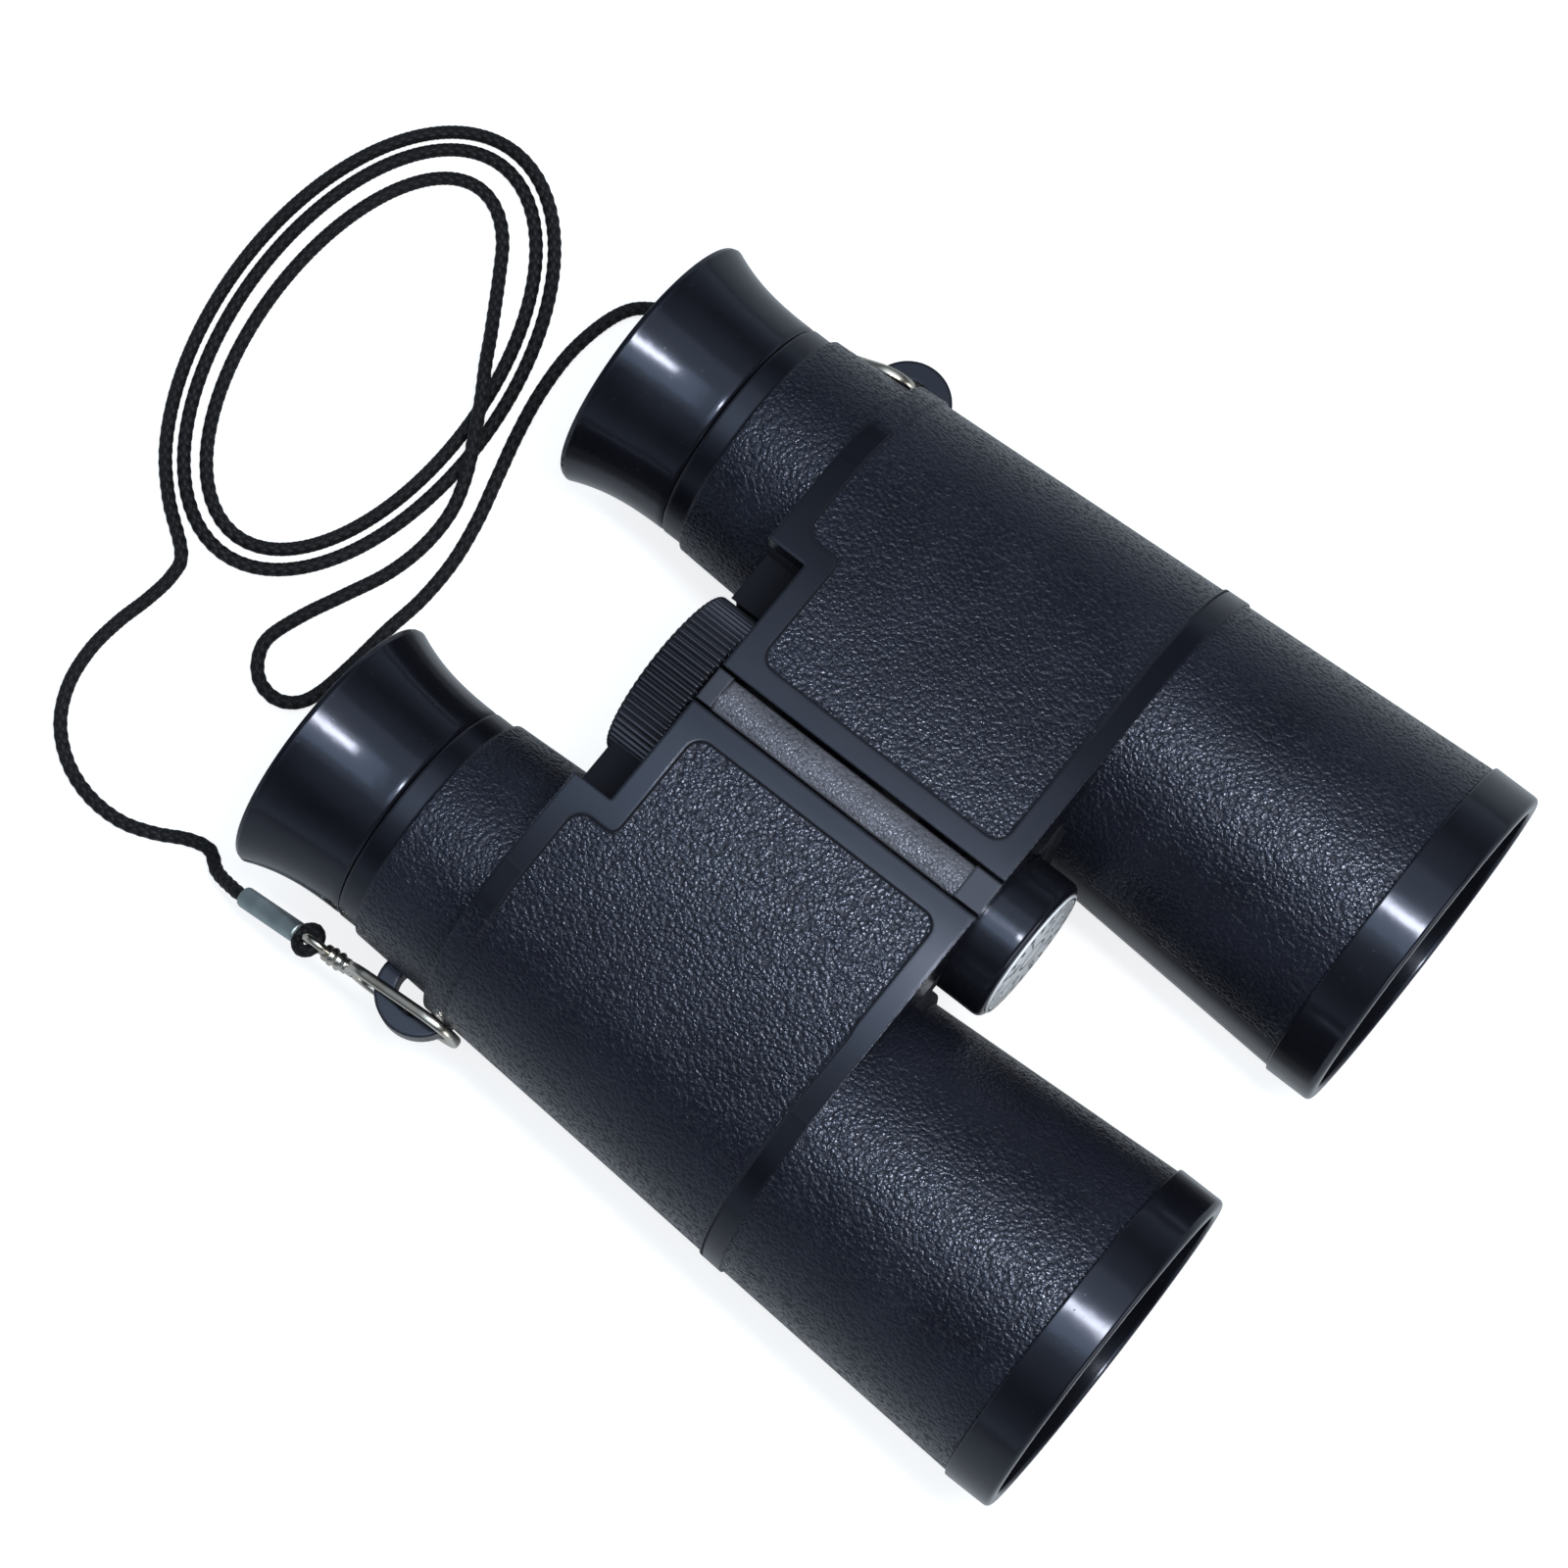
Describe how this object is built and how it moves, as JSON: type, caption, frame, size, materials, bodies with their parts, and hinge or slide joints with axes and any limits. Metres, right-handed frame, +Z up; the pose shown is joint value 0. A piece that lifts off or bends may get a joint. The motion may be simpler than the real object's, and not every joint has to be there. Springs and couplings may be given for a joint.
{
  "type": "toy binoculars",
  "caption": "Toy binoculars with two hinged barrels, a ribbed centre focus wheel that slides both eyepieces, a round dial on the hinge and a neck cord on snap clips.",
  "frame": {"origin": "On the table under the middle of the binoculars, at the centre of the box that the two barrels fill without the cord.", "axes": "+Z is up. The optical axes run along Y: the objectives face -Y and the eyepieces face +Y. +X is the barrel for the user's left eye."},
  "size_m": [0.104, 0.1706, 0.044],
  "materials": {
    "grained_black": "moulded black plastic with a fine leather grain and smooth satin borders",
    "gloss_black": "smooth glossy black plastic",
    "inner_black": "plain matt black plastic inside the barrels",
    "lens_glass": "clear moulded lens",
    "steel": "plain steel",
    "nickel_wire": "bright nickel-plated wire",
    "crimp_metal": "dull grey crimped sleeve",
    "label_print": "pale printed disc with plain black ticks",
    "cord_braid": "black braided round cord"
  },
  "bodies": {
    "right_half": {"right_top_shell": "grained_black", "right_bottom_shell": "grained_black", "right_shell_screws": "steel", "right_objective_ring": "gloss_black", "right_objective_lens": "lens_glass", "right_lens_retainer": "inner_black", "hinge_strip": "grained_black", "hinge_axle": "steel", "axle_nut": "steel", "dial_cap": "gloss_black", "dial_label": "label_print", "right_clip": "nickel_wire", "right_cord_loop": "cord_braid", "right_ferrule": "crimp_metal", "cord_right_lead": "cord_braid", "cord_coil": "cord_braid", "cord_left_lead": "cord_braid"},
    "left_half": {"left_top_shell": "grained_black", "left_bottom_shell": "grained_black", "left_shell_screws": "steel", "left_objective_ring": "gloss_black", "left_objective_lens": "lens_glass", "left_lens_retainer": "inner_black", "left_clip": "nickel_wire", "left_cord_loop": "cord_braid", "left_ferrule": "crimp_metal"},
    "focus_wheel_body": {"focus_wheel": "gloss_black", "focus_screw": "steel"},
    "right_eyepiece": {"right_eyecup": "gloss_black", "right_eyepiece_tube": "inner_black", "right_eye_lens": "lens_glass", "right_eye_retainer": "inner_black", "right_focus_arm": "inner_black"},
    "left_eyepiece": {"left_eyecup": "gloss_black", "left_eyepiece_tube": "inner_black", "left_eye_lens": "lens_glass", "left_eye_retainer": "inner_black", "left_focus_arm": "inner_black"}
  },
  "joints": [
    {"name": "fold", "type": "hinge", "parent": "right_half", "child": "left_half", "pos_m": [0, 0, 0.03], "axis": [0, 1, 0], "range_deg": [0, 30], "deforming": ["cord_left_lead"]},
    {"name": "focus_turn", "type": "hinge", "parent": "right_half", "child": "focus_wheel_body", "pos_m": [0, 0.0275, 0.03], "axis": [0, 1, 0], "range_deg": [0, 180]},
    {"name": "right_eyepiece_slide", "type": "slide", "parent": "right_half", "child": "right_eyepiece", "axis": [0, 1, 0], "range_m": [0, 0.004]},
    {"name": "left_eyepiece_slide", "type": "slide", "parent": "left_half", "child": "left_eyepiece", "axis": [0, 1, 0], "range_m": [0, 0.004]}
  ],
  "couplings": [
    {"joint": "right_eyepiece_slide", "follows": "focus_turn", "m_per_rad": 0.001273},
    {"joint": "left_eyepiece_slide", "follows": "focus_turn", "m_per_rad": 0.001273}
  ]
}
